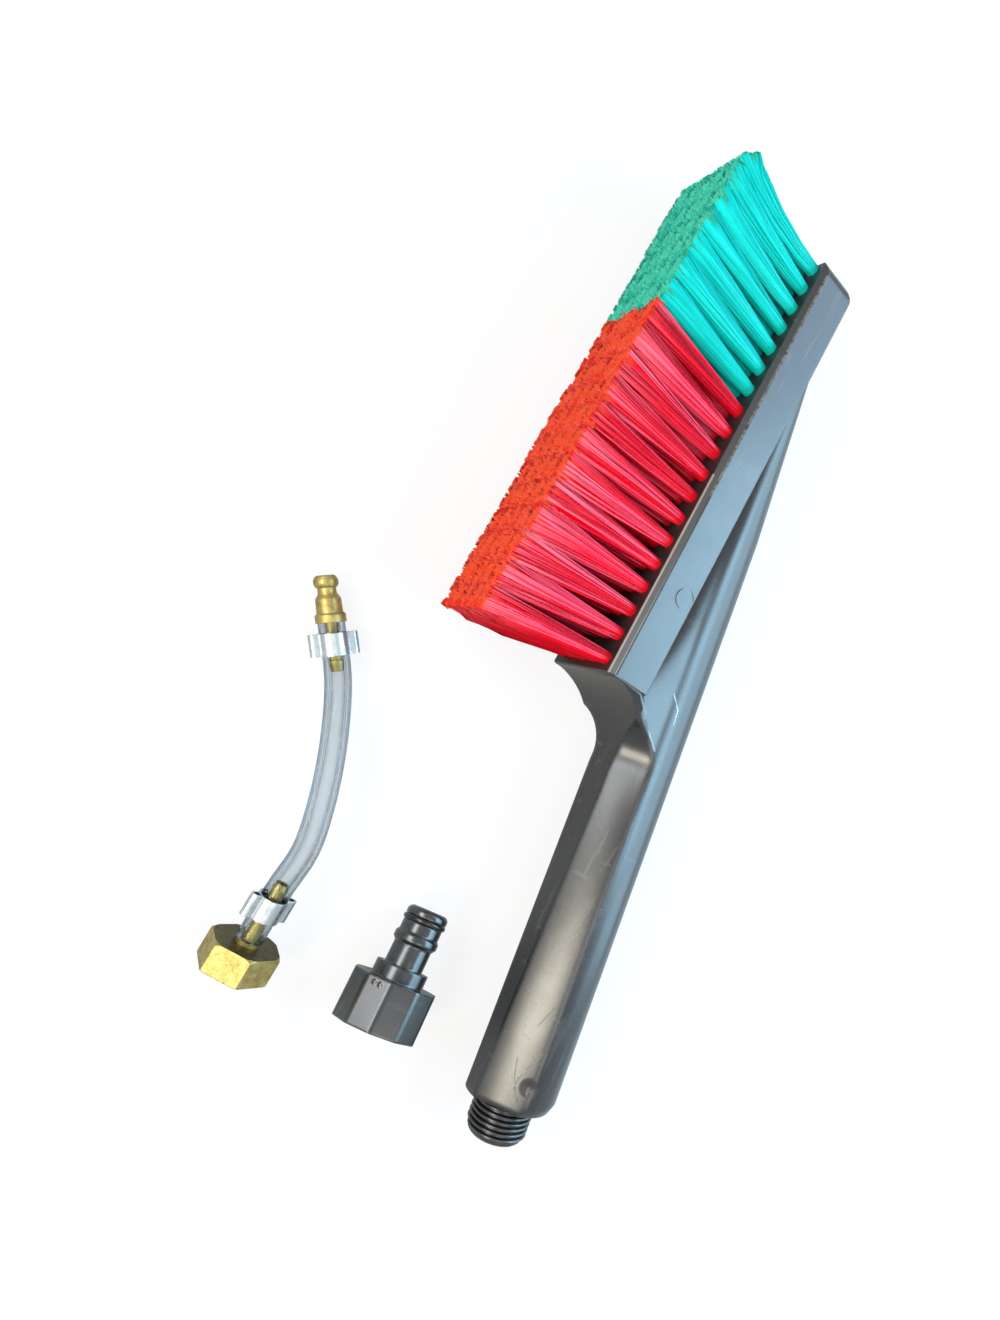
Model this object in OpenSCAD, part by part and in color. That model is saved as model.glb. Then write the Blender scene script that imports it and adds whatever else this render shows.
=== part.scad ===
// Water-fed wash brush with tap adapter and clear hose whip. Millimetres, Z up, +Y towards the head tip.

/* [Head] */
// Length of the tuft block along Y
head_len = 167; // [120:1:220]
// Width of the tuft block
head_w = 40; // [30:1:70]
// Thickness of the tuft block
head_t = 15.6; // [12:0.1:25]
// Chamfer along the two long edges of the tuft face
head_lip = 2.1; // [0.5:0.1:4]
// Plan corner radius at the tip
head_corner_r = 7; // [2:0.5:15]
// Rounding of the tip towards the back
tip_back_r = 8; // [2:0.5:10]
// Chamfer across the tip of the tuft face
tip_lip = 1.5; // [0.5:0.1:3]

/* [Tufts] */
// Rows of tufts across the head
tuft_rows = 5; // [2:1:7]
// Tufts along each row
tuft_cols = 19; // [6:1:26]
// Tufts of each row that are red, from the handle end
red_cols = 12; // [1:1:25]
// Distance from the long edges of the block to the outer rows
row_margin = 6.8; // [5:0.1:12]
// Distance from the handle end of the block to the first tuft
first_col = 4.6; // [4:0.1:10]
// Distance from the tip of the block to the last tuft
last_col = 4; // [4:0.1:10]
// Radius of a tuft hole
hole_r = 2.2; // [1.5:0.05:3]
// Depth of a tuft hole
hole_depth = 9; // [5:0.5:12]
// Free length of the bristles
bristle_len = 46.4; // [20:0.2:80]
// Lean of the first and last tufts away from the middle
end_lean = 8; // [0:0.5:15]

/* [Handle] */
// Angle between the handle and the tuft face
grip_angle = 8.7; // [0:0.1:20]
// Depth of the handle axis behind the tuft face at the handle end of the block
axis_depth = 32.9; // [25:0.1:45]
// Length of the handle from the block to its shoulder
grip_len = 137.5; // [100:0.5:180]
// Radius of the round back of the handle
grip_r = 16.2; // [12:0.1:22]
// Distance from the axis to the front flat at the shoulder
front_end = 14.5; // [11:0.1:20]
// Slope of the front flat
front_slope = 1.63; // [0:0.01:4]
// Reach of the 45 degree side flats
flat_reach = 18.3; // [15:0.1:25]
// Radius of the throat in front of the handle
throat_r = 24; // [10:0.5:40]

/* [Water way] */
// Radius of the channel through the handle
channel_r = 8; // [4:0.1:9]
// Radius of the channel in the head
gallery_r = 6; // [3:0.1:7]
// Radius of a water outlet in the tuft face
outlet_r = 1.2; // [0.5:0.1:2]
// Radius of the spigot under its thread
spigot_r = 9.32; // [8:0.01:13.3]
// Length of the spigot
spigot_len = 13.2; // [8:0.1:20]
// Bore radius of the spigot
spigot_bore_r = 7.2; // [4:0.1:8]

/* [Resting pose] */
// Roll of the brush about Y while it lies on its side
roll = 5.6; // [0:0.1:30]
// Height of the middle plane of the tuft block
rest_z = 21.45; // [10:0.05:60]
// Place of the handle end of the block along X
brush_x = -10.7; // [-100:0.1:100]
// Place of the handle end of the block along Y
brush_y = -11.2; // [-100:0.1:100]

/* [Adapter] */
// Across flats of the ten-sided body
adapter_af = 26.4; // [24:0.1:36]
// Radius that blunts the corners of the body
adapter_corner_r = 13.7; // [12:0.1:20]
// Length of the ten-sided body
adapter_body_len = 15; // [10:0.5:25]
// Radius of the collar
collar_r = 8.5; // [7:0.1:14]
// Length of the collar
collar_len = 4.4; // [2:0.1:8]
// Radius of the neck behind the locking ring
neck_r = 6.2; // [5:0.1:8]
// Radius of the locking ring
ring_r = 7.2; // [6:0.1:9]
// Radius of the nose
nose_r = 6.8; // [5:0.1:8.5]
// Bore radius of the nipple
nipple_bore_r = 4.2; // [2:0.1:5]
// Length of the whole adapter
adapter_len = 38; // [30:0.1:60]
// Radius of the socket inside the crests of its thread
female_r = 9.4; // [8:0.01:13]
// Depth of the threaded socket
socket_depth = 13; // [8:0.1:20]

/* [Hose whip] */
// Outer radius of the clear hose
hose_r = 4; // [3:0.1:6]
// Inner radius of the clear hose
hose_in_r = 2.6; // [1.5:0.1:5]
// Radius of the barbed tails inside the hose
barb_r = 2.45; // [1.5:0.05:5]
// Across flats of the swivel nut
nut_af = 19; // [18:0.1:30]
// Height of the swivel nut
nut_h = 8.8; // [6:0.1:15]
// Radius of the nut's hole inside the crests of its thread
nut_thread_r = 7.4; // [5:0.05:11]
// Radius of the water way through the barbed tails
tail_bore_r = 1.3; // [0.6:0.1:1.6]
// Width of a clamp band
band_w = 6.8; // [4:0.1:10]
// Thickness of a clamp band
band_t = 0.6; // [0.4:0.05:1.2]

/* [Hidden] */
$fn = 96;
EPS = 0.01;
// Brush frame: x back, y towards the tip, z towards the upper side
row_pitch = (head_w - 2 * row_margin) / (tuft_rows - 1);
col_pitch = (head_len - first_col - last_col) / (tuft_cols - 1);
function col_y(k) = first_col + col_pitch * k;
function row_z(j) = (j - (tuft_rows - 1) / 2) * row_pitch;
function lean(k) = -end_lean + 2 * end_lean * k / (tuft_cols - 1);
tuft_r = hole_r - 0.05;
tip_r = row_pitch / 2 - 0.15;
tuft_root = 0.3;
outlet_step = 2;
outlet_cols = 12;
// x of the front flat at height y
function front_line(y) =
    axis_depth + grip_len * sin(grip_angle) - front_end / cos(grip_angle)
    - (y + grip_len * cos(grip_angle)) * tan(grip_angle - front_slope) - 0.55;
throat_x = 0.7;
throat_y = -23.8;
wall_half = grip_r - 0.3;
neck_y = -40;
flare_y = -17;
flare_r = 40.3;
flare_gap = 0.1;
flat_start = 20;
flat_cove_r = 16;
spine_plain = 70;
spine_taper = head_len - 27;
spine_end = head_len - 9;
spine_mid_r = 13.6;
wall_end = min(head_len - 40, round((axis_depth - head_t) / tan(grip_angle)));
channel_end = 40;
gallery_end = min(head_len - 40, floor((axis_depth - gallery_r - hole_depth - 1) / sin(grip_angle)));

// Adapter frame: z from the open end to the nose
adapter_at = [-11.2, -140.8, 15.95];
adapter_turn = [-100, 0, -0.6];
adapter_sides = 10;
adapter_roll = -6.6;
groove_z = adapter_len - 3.8;
groove_r = 5.2;
oring_r = 0.95;
gasket_t = 2;
undercut = 0.6;

// Hose whip frames
nut_at = [-56.9, -139.2, 10.7];
nut_turn = [-82, 0, 1];
nut_roll = 37;
plug_at = [-82.2, -37.8, 4.8];
plug_turn = [-90, 0, 37];
nut_shoulder = 1.6;
nut_undercut = 0.4;
nut_gasket_t = 1.2;
flange_z = nut_h - nut_shoulder - 1.2;
tail_r = 3.7;
nut_r = nut_af / 2 / cos(30);
spin_gap = 0.05;
tail_gap = 1.3;
barb_len = 18.2;
plug_barb_len = 15;
nut_rise = 90 + nut_turn[0];
nut_d = [-sin(nut_turn[2]) * cos(nut_rise), cos(nut_turn[2]) * cos(nut_rise), sin(nut_rise)];
plug_d = [-sin(plug_turn[2]), cos(plug_turn[2]), 0];
hose_start = nut_at + (nut_h + tail_gap) * nut_d;
// Centre line of the free hose
ROUTE = [
    hose_start,
    hose_start + 9.5 * nut_d,
    hose_start + 19 * nut_d,
    [-56.4, -101.2, 16],
    [-58.2, -91.2, 15.5],
    [-60.9, -80.2, 13.6],
    [-64.3, -69.7, 11],
    [-68.1, -59.9, 7.9],
    plug_at - 16.5 * plug_d,
    plug_at - 8 * plug_d,
    plug_at
];
TANGENTS = [
    for (i = [0:len(ROUTE) - 1])
        i < 2 ? nut_d
        : i > len(ROUTE) - 3 ? plug_d
        : unit(ROUTE[i + 1] - ROUTE[i - 1])
];
SIDES = 12;

function unit(v) = v / norm(v);
function ring(i, r) = let(
        t = TANGENTS[i],
        s = unit(cross(t, [0, 0, 1])),
        u = cross(s, t))
    [for (k = [0:SIDES - 1]) ROUTE[i] + r * (cos(360 * k / SIDES) * s + sin(360 * k / SIDES) * u)];

// ---------- frames ----------

module brush_frame() {
    translate([brush_x, brush_y, rest_z]) rotate([0, roll, 0]) children();
}

module grip_frame() {
    translate([axis_depth, 0, 0]) rotate([0, 0, grip_angle]) children();
}

// z of the children runs along -y of the grip frame, x stays back
module along_grip(from) {
    grip_frame() translate([0, -from, 0]) rotate([90, 0, 0]) children();
}

module adapter_frame() {
    translate(adapter_at) rotate(adapter_turn) children();
}

module nut_frame() {
    translate(nut_at) rotate(nut_turn) children();
}

module plug_frame() {
    translate(plug_at) rotate(plug_turn) children();
}

// ---------- brush body ----------

module head_block() {
    intersection() {
        translate([0, head_len, 0]) rotate([90, 0, 0]) linear_extrude(head_len)
            polygon([
                [0, head_w / 2 - head_lip],
                [head_lip, head_w / 2],
                [head_t, head_w / 2],
                [head_t, -head_w / 2],
                [head_lip, -head_w / 2],
                [0, -head_w / 2 + head_lip]
            ]);
        rotate([90, 0, 90]) linear_extrude(head_t) union() {
            translate([0, -head_w / 2]) square([head_len - head_corner_r, head_w]);
            translate([0, head_corner_r - head_w / 2]) square([head_len, head_w - 2 * head_corner_r]);
            for (s = [-1, 1])
                translate([head_len - head_corner_r, s * (head_w / 2 - head_corner_r)]) circle(head_corner_r);
        }
        linear_extrude(head_w, center = true) union() {
            square([head_t, head_len - tip_back_r]);
            polygon([
                [0, 0],
                [head_t - tip_back_r, 0],
                [head_t - tip_back_r, head_len],
                [tip_lip, head_len],
                [0, head_len - tip_lip]
            ]);
            translate([head_t - tip_back_r, head_len - tip_back_r]) circle(tip_back_r);
        }
    }
}

// side outline of everything behind the tuft block's face, with the throat and the front flat
module keep_profile() {
    difference() {
        polygon([
            [head_lip, head_len - 2],
            [axis_depth + 37, head_len - 2],
            [axis_depth + 77, -grip_len - 43],
            [front_line(-grip_len - 43), -grip_len - 43],
            [front_line(throat_y + 5), throat_y + 5],
            [head_lip, throat_y + 5]
        ]);
        translate([throat_x, throat_y]) circle(throat_r);
    }
}

// handle and spine share one turned form round the handle axis
module turned_back() {
    along_grip(0) rotate_extrude()
        polygon([
            [0, -spine_end],
            [5, 0.8 - spine_end],
            [8, 2.5 - spine_end],
            [11, 8 - spine_end],
            [spine_mid_r, -spine_taper],
            [grip_r, -spine_plain],
            [grip_r, grip_len - 3],
            [grip_r - 1.2, grip_len],
            [0, grip_len]
        ]);
}

// straight walls between the turned form, the block and the neck
module walls() {
    intersection() {
        linear_extrude(60, center = true)
            polygon([
                [head_t - 3, wall_end],
                [head_t, wall_end],
                [axis_depth, 0],
                [axis_depth - neck_y * tan(grip_angle), neck_y],
                [10, neck_y],
                [10, 1]
            ]);
        rotate([90, 0, 90]) linear_extrude(60)
            polygon([
                [neck_y - 1, -wall_half],
                [spine_plain - 2, -wall_half],
                [wall_end + 1, 1.5 - wall_half],
                [wall_end + 1, wall_half - 1.5],
                [spine_plain - 2, wall_half],
                [neck_y - 1, wall_half]
            ]);
    }
}

// the walls spread to the width of the block in two coves
module flare() {
    intersection() {
        linear_extrude(60, center = true)
            polygon([
                [head_lip, 0.5],
                [head_t - 0.2, 0.5],
                [head_t - 0.2, -0.1],
                [34, flare_y],
                [head_lip, flare_y]
            ]);
        rotate([90, 0, 90]) linear_extrude(60) difference() {
            translate([flare_y, 0.3 - head_w / 2]) square([0.5 - flare_y, head_w - 0.6]);
            for (s = [-1, 1])
                translate([flare_y, s * (wall_half + flare_r - flare_gap)]) circle(flare_r);
        }
    }
}

module side_flat_cutter() {
    rotate([0, -45, 0]) translate([-40 - flat_reach / sqrt(2), 0, 0])
        linear_extrude(60, center = true) union() {
            translate([0, -grip_len - 20]) square([40, grip_len + 20 - flat_start]);
            translate([40.1 - flat_cove_r, -flat_start]) circle(flat_cove_r);
        }
}

module grip_and_spine() {
    difference() {
        intersection() {
            union() {
                turned_back();
                walls();
                flare();
            }
            linear_extrude(70, center = true) keep_profile();
        }
        grip_frame() side_flat_cutter();
        grip_frame() mirror([0, 0, 1]) side_flat_cutter();
    }
}

module spigot_solid() {
    along_grip(grip_len - EPS) rotate_extrude()
        polygon([
            [0, 0],
            [spigot_r, 0],
            [spigot_r, spigot_len - 0.8],
            [spigot_r - 0.8, spigot_len],
            [0, spigot_len]
        ]);
}

module brush_body() {
    color([0.07, 0.08, 0.09]) brush_frame() difference() {
        union() {
            head_block();
            grip_and_spine();
            spigot_solid();
        }
        // water way
        along_grip(grip_len - 1) cylinder(h = spigot_len + 2, r = spigot_bore_r);
        along_grip(-channel_end) cylinder(h = channel_end + grip_len - 0.5, r = channel_r);
        along_grip(-gallery_end) cylinder(h = gallery_end - channel_end + 1, r = gallery_r);
        for (k = [0:outlet_step:outlet_cols - 1], s = [-0.5, 0.5])
            translate([-1, col_y(k + 0.5), s * row_pitch]) rotate([0, 90, 0])
                cylinder(h = 1 + axis_depth - (col_y(k + 0.5)) * tan(grip_angle), r = outlet_r);
        // tuft holes
        for (k = [0:tuft_cols - 1], j = [0:tuft_rows - 1])
            translate([-EPS, col_y(k), row_z(j)]) rotate([0, 90, 0]) cylinder(h = hole_depth + EPS, r = hole_r);
    }
}

// ---------- tufts ----------

// straight in its hole, then spreading to the trimmed tips
module tuft(k, j) {
    translate([0, col_y(k), row_z(j)]) {
        rotate([0, 90, 0]) cylinder(h = hole_depth, r = tuft_r, $fn = 48);
        translate([tuft_root, 0, 0]) rotate([0, -90, -lean(k)])
            cylinder(h = bristle_len + 3, r1 = tuft_r - tuft_root, r2 = tip_r, $fn = 48);
    }
}

module tuft_row(j, cols) {
    brush_frame() intersection() {
        union() {
            for (k = cols) tuft(k, j);
        }
        translate([-bristle_len, -60, -60]) cube([bristle_len + hole_depth, head_len + 120, 120]);
    }
}

module red_row(j) {
    color([0.9, 0.05, 0.12]) tuft_row(j, [0:red_cols - 1]);
}

module green_row(j) {
    color([0, 0.75, 0.62]) tuft_row(j, [red_cols:tuft_cols - 1]);
}

module tufts_red_row1() { red_row(0); }
module tufts_red_row2() { red_row(1); }
module tufts_red_row3() { red_row(2); }
module tufts_red_row4() { red_row(3); }
module tufts_red_row5() { red_row(4); }
module tufts_green_row1() { green_row(0); }
module tufts_green_row2() { green_row(1); }
module tufts_green_row3() { green_row(2); }
module tufts_green_row4() { green_row(3); }
module tufts_green_row5() { green_row(4); }

// ---------- tap adapter ----------

module adapter_body() {
    color([0.08, 0.09, 0.1]) adapter_frame() difference() {
        union() {
            intersection() {
                rotate([0, 0, adapter_roll])
                    cylinder(h = adapter_body_len, r = adapter_af / 2 / cos(180 / adapter_sides), $fn = adapter_sides);
                cylinder(h = adapter_body_len, r = adapter_corner_r);
            }
            cylinder(h = adapter_body_len + collar_len, r = collar_r);
            rotate_extrude() polygon([
                [0, 10],
                [neck_r, 10],
                [neck_r, 26.2],
                [ring_r, 27.4],
                [ring_r, 29.1],
                [nose_r - 0.3, 30.1],
                [nose_r - 0.3, groove_z - 1],
                [groove_r, groove_z - 1],
                [groove_r, groove_z + 1],
                [nose_r, groove_z + 1],
                [nose_r, adapter_len - 1.3],
                [nose_r - 0.5, adapter_len - 0.5],
                [nose_r - 1.4, adapter_len],
                [0, adapter_len]
            ]);
        }
        translate([0, 0, -1]) cylinder(h = adapter_len + 2, r = nipple_bore_r);
        translate([0, 0, -1]) cylinder(h = socket_depth + 1, r = female_r);
        translate([0, 0, -EPS]) cylinder(h = 1.2, r1 = female_r + 1.2, r2 = female_r);
        // undercut that keeps the washer in
        translate([0, 0, socket_depth - gasket_t]) cylinder(h = gasket_t, r = female_r + undercut);
    }
}

module adapter_oring() {
    color([0.03, 0.03, 0.035]) adapter_frame() rotate_extrude()
        translate([groove_r + oring_r, groove_z]) circle(oring_r, $fn = 48);
}

module adapter_gasket() {
    color([0.05, 0.05, 0.05]) adapter_frame() translate([0, 0, socket_depth - gasket_t]) difference() {
        cylinder(h = gasket_t, r = female_r + undercut - 0.1);
        translate([0, 0, -1]) cylinder(h = gasket_t + 2, r = nipple_bore_r + 1);
    }
}

// ---------- hose whip ----------

module swivel_nut() {
    color([0.72, 0.55, 0.2]) nut_frame() difference() {
        intersection() {
            rotate([0, 0, nut_roll]) cylinder(h = nut_h, r = nut_r, $fn = 6);
            rotate_extrude() polygon([
                [0, 0],
                [nut_r - 0.35, 0],
                [nut_r + 0.45, 0.8],
                [nut_r + 0.45, nut_h - 1],
                [nut_r - 0.95, nut_h],
                [0, nut_h]
            ]);
        }
        translate([0, 0, -1]) cylinder(h = flange_z - nut_gasket_t + 1.5, r = nut_thread_r);
        translate([0, 0, -EPS]) cylinder(h = 0.9, r1 = nut_thread_r + 1.1, r2 = nut_thread_r);
        translate([0, 0, flange_z - nut_gasket_t])
            cylinder(h = nut_h - nut_shoulder - flange_z + nut_gasket_t, r = nut_thread_r + nut_undercut);
        cylinder(h = nut_h + 1, r = tail_r + spin_gap);
    }
}

// brass tail held in the nut, with its barbs inside the hose
module hose_tail() {
    color([0.75, 0.58, 0.22]) nut_frame() difference() {
        rotate_extrude() polygon([
            [0, flange_z],
            [nut_thread_r - 0.4, flange_z],
            [nut_thread_r - 0.4, nut_h - nut_shoulder],
            [tail_r, nut_h - nut_shoulder],
            [tail_r, nut_h + tail_gap],
            [barb_r, nut_h + tail_gap],
            [barb_r, nut_h + tail_gap + 1],
            [barb_r - 0.6, nut_h + tail_gap + 6.4],
            [barb_r, nut_h + tail_gap + 6.5],
            [barb_r - 0.5, nut_h + tail_gap + 11.4],
            [barb_r, nut_h + tail_gap + 11.5],
            [barb_r, nut_h + tail_gap + barb_len - 1.8],
            [barb_r - 0.6, nut_h + tail_gap + barb_len],
            [0, nut_h + tail_gap + barb_len]
        ]);
        cylinder(h = nut_h + tail_gap + barb_len + 10, r = tail_bore_r);
    }
}

module nut_gasket() {
    color([0.05, 0.05, 0.05]) nut_frame() translate([0, 0, flange_z - nut_gasket_t]) difference() {
        cylinder(h = nut_gasket_t - 0.02, r = nut_thread_r + nut_undercut - 0.1);
        translate([0, 0, -1]) cylinder(h = nut_gasket_t + 2, r = 3);
    }
}

module hose_tube() {
    n = len(ROUTE);
    pts = concat(
        [for (i = [0:n - 1]) each ring(i, hose_r)],
        [for (i = [0:n - 1]) each ring(i, hose_in_r)]);
    m = n * SIDES;
    faces = concat(
        [for (i = [0:n - 2], k = [0:SIDES - 1])
            [i * SIDES + k, i * SIDES + (k + 1) % SIDES, (i + 1) * SIDES + (k + 1) % SIDES, (i + 1) * SIDES + k]],
        [for (i = [0:n - 2], k = [0:SIDES - 1])
            [m + i * SIDES + k, m + (i + 1) * SIDES + k, m + (i + 1) * SIDES + (k + 1) % SIDES,
                m + i * SIDES + (k + 1) % SIDES]],
        [for (k = [0:SIDES - 1]) [k, m + k, m + (k + 1) % SIDES, (k + 1) % SIDES]],
        [for (k = [0:SIDES - 1])
            [m - SIDES + k, m - SIDES + (k + 1) % SIDES, 2 * m - SIDES + (k + 1) % SIDES, 2 * m - SIDES + k]]);
    color([0.8, 0.85, 0.88]) polyhedron(points = pts, faces = faces, convexity = 4);
}

// two pinched ears on a plain band, drawn about z
module ear_clamp() {
    difference() {
        cylinder(h = band_w, r = hose_r + 0.05 + band_t, center = true);
        cylinder(h = band_w + 1, r = hose_r + 0.05, center = true);
    }
    for (s = [0, 180]) rotate([0, 0, s]) translate([hose_r + 0.05, 0, 0])
        linear_extrude(band_w, center = true) difference() {
            union() {
                translate([0.1, -1.5]) square([1.6, 3]);
                translate([1.7, 0]) circle(1.5, $fn = 32);
            }
            translate([0.6, -0.9]) square([1.1, 1.8]);
            translate([1.7, 0]) circle(0.9, $fn = 32);
        }
}

module lower_clamp() {
    color([0.7, 0.72, 0.75]) nut_frame() translate([0, 0, nut_h + tail_gap + 10.4])
        rotate([0, 0, 22]) ear_clamp();
}

module upper_clamp() {
    color([0.7, 0.72, 0.75]) plug_frame() translate([0, 0, -6.6]) ear_clamp();
}

module plug_nipple() {
    color([0.75, 0.58, 0.22]) plug_frame() difference() {
        rotate_extrude() polygon([
            [0, -plug_barb_len],
            [barb_r - 0.5, -plug_barb_len],
            [barb_r, -plug_barb_len + 3.5],
            [barb_r - 0.45, -plug_barb_len + 3.51],
            [barb_r, -7.5],
            [barb_r - 0.45, -7.49],
            [barb_r, -3.5],
            [barb_r - 0.45, -3.49],
            [barb_r - 0.45, 0],
            [4.5, 0],
            [4.5, 2.3],
            [3.85, 2.9],
            [3.7, 7.2],
            [2.85, 8.5],
            [2.7, 9],
            [2.7, 10.4],
            [3.3, 10.9],
            [3.6, 11.6],
            [3.6, 12.8],
            [3.1, 13.8],
            [2.5, 14.2],
            [0, 14.2]
        ]);
        translate([0, 0, -20]) cylinder(h = 40, r = tail_bore_r);
    }
}

brush_body();
tufts_red_row1();
tufts_red_row2();
tufts_red_row3();
tufts_red_row4();
tufts_red_row5();
tufts_green_row1();
tufts_green_row2();
tufts_green_row3();
tufts_green_row4();
tufts_green_row5();
adapter_body();
adapter_oring();
adapter_gasket();
swivel_nut();
nut_gasket();
hose_tail();
hose_tube();
lower_clamp();
upper_clamp();
plug_nipple();
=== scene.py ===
"""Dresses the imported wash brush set, and sets up its camera, floor and lights.

Shapes are written in millimetres and made in the frame's metres."""

import math

import bpy
import numpy as np
from mathutils import Matrix, Vector


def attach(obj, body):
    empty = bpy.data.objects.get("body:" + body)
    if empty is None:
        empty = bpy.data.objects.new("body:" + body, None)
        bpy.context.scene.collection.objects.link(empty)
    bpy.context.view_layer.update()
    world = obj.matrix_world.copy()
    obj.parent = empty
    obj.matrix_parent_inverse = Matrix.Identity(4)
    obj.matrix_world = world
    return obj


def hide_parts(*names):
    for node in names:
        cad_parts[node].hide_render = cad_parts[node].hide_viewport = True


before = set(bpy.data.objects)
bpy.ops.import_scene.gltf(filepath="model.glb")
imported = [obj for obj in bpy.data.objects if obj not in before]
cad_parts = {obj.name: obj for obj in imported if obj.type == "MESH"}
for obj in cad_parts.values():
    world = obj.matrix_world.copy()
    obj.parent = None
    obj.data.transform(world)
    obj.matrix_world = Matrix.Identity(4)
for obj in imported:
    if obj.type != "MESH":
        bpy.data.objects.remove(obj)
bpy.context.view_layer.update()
MM = 0.001
Z_AXIS = Vector((0, 0, 1))
rng = np.random.default_rng(7)


def add(name, data):
    """An object for this data, in the scene."""
    obj = bpy.data.objects.new(name, data)
    bpy.context.scene.collection.objects.link(obj)
    return obj


# ---------------------------------------------------------------- camera
# Axes of the camera in the row's frame: right, down and forward.
RIGHT = Vector((0.7445, 0.4548, 0.4888)).normalized()
FORWARD = Vector((0.4591, 0.1828, -0.8694))
FORWARD = (FORWARD - RIGHT * FORWARD.dot(RIGHT)).normalized()
DOWN = FORWARD.cross(RIGHT)
CAMERA_AT = (-116.77, -57.26, 269.87)
cam_data = bpy.data.cameras.new("camera")
cam_data.lens = 22.459
cam_data.sensor_width = 36.0
cam_data.sensor_fit = "AUTO"
cam_data.shift_x = -0.1093
cam_data.shift_y = 0.0201
cam_data.clip_start = 0.005
cam_data.clip_end = 20.0
camera = add("camera", cam_data)
basis = Matrix((RIGHT, -DOWN, -FORWARD)).transposed().to_4x4()
camera.matrix_world = Matrix.Translation(Vector(CAMERA_AT) * MM) @ basis
bpy.context.scene.camera = camera


# ---------------------------------------------------------------- frames
def turned(at, turn):
    """A frame at a point in millimetres, turned by degrees about X, then Y, then Z."""
    x, y, z = (math.radians(a) for a in turn)
    return (
        Matrix.Translation(Vector(at) * MM)
        @ Matrix.Rotation(z, 4, "Z")
        @ Matrix.Rotation(y, 4, "Y")
        @ Matrix.Rotation(x, 4, "X")
    )


BRUSH_TILT = 5.6
GRIP_X = 32.9  # where the handle's axis crosses the plane of the block's near end
# Cosine and sine of the handle's lean of 8.7 degrees, as the marks on it use them.
GRIP_COS, GRIP_SIN = 0.9885, 0.1513
BRUSH = turned((-10.7, -11.2, 21.45), (0, BRUSH_TILT, 0))
GRIP = BRUSH @ turned((GRIP_X, 0, 0), (0, 0, 8.7))
SPIGOT = GRIP @ turned((0, -137.5, 0), (90, 0, 0))
NUT = turned((-56.9, -139.2, 10.7), (-82, 0, 1))
PLUG = turned((-82.2, -37.8, 4.8), (-90, 0, 37))
NUT_AXIS = (NUT.to_3x3() @ Z_AXIS).normalized()
PLUG_AXIS = (PLUG.to_3x3() @ Z_AXIS).normalized()


def new_object(name, verts, faces, matrix, material, smooth=True):
    """A mesh object from millimetres in the frame of the matrix."""
    mesh = bpy.data.meshes.new(name)
    mesh.from_pydata([tuple(v) for v in verts], [], [tuple(f) for f in faces])
    mesh.transform(Matrix.Scale(MM, 4))
    mesh.transform(matrix)
    mesh.update()
    if smooth:
        mesh.shade_smooth()
    mesh.materials.append(material)
    return add(name, mesh)


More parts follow.
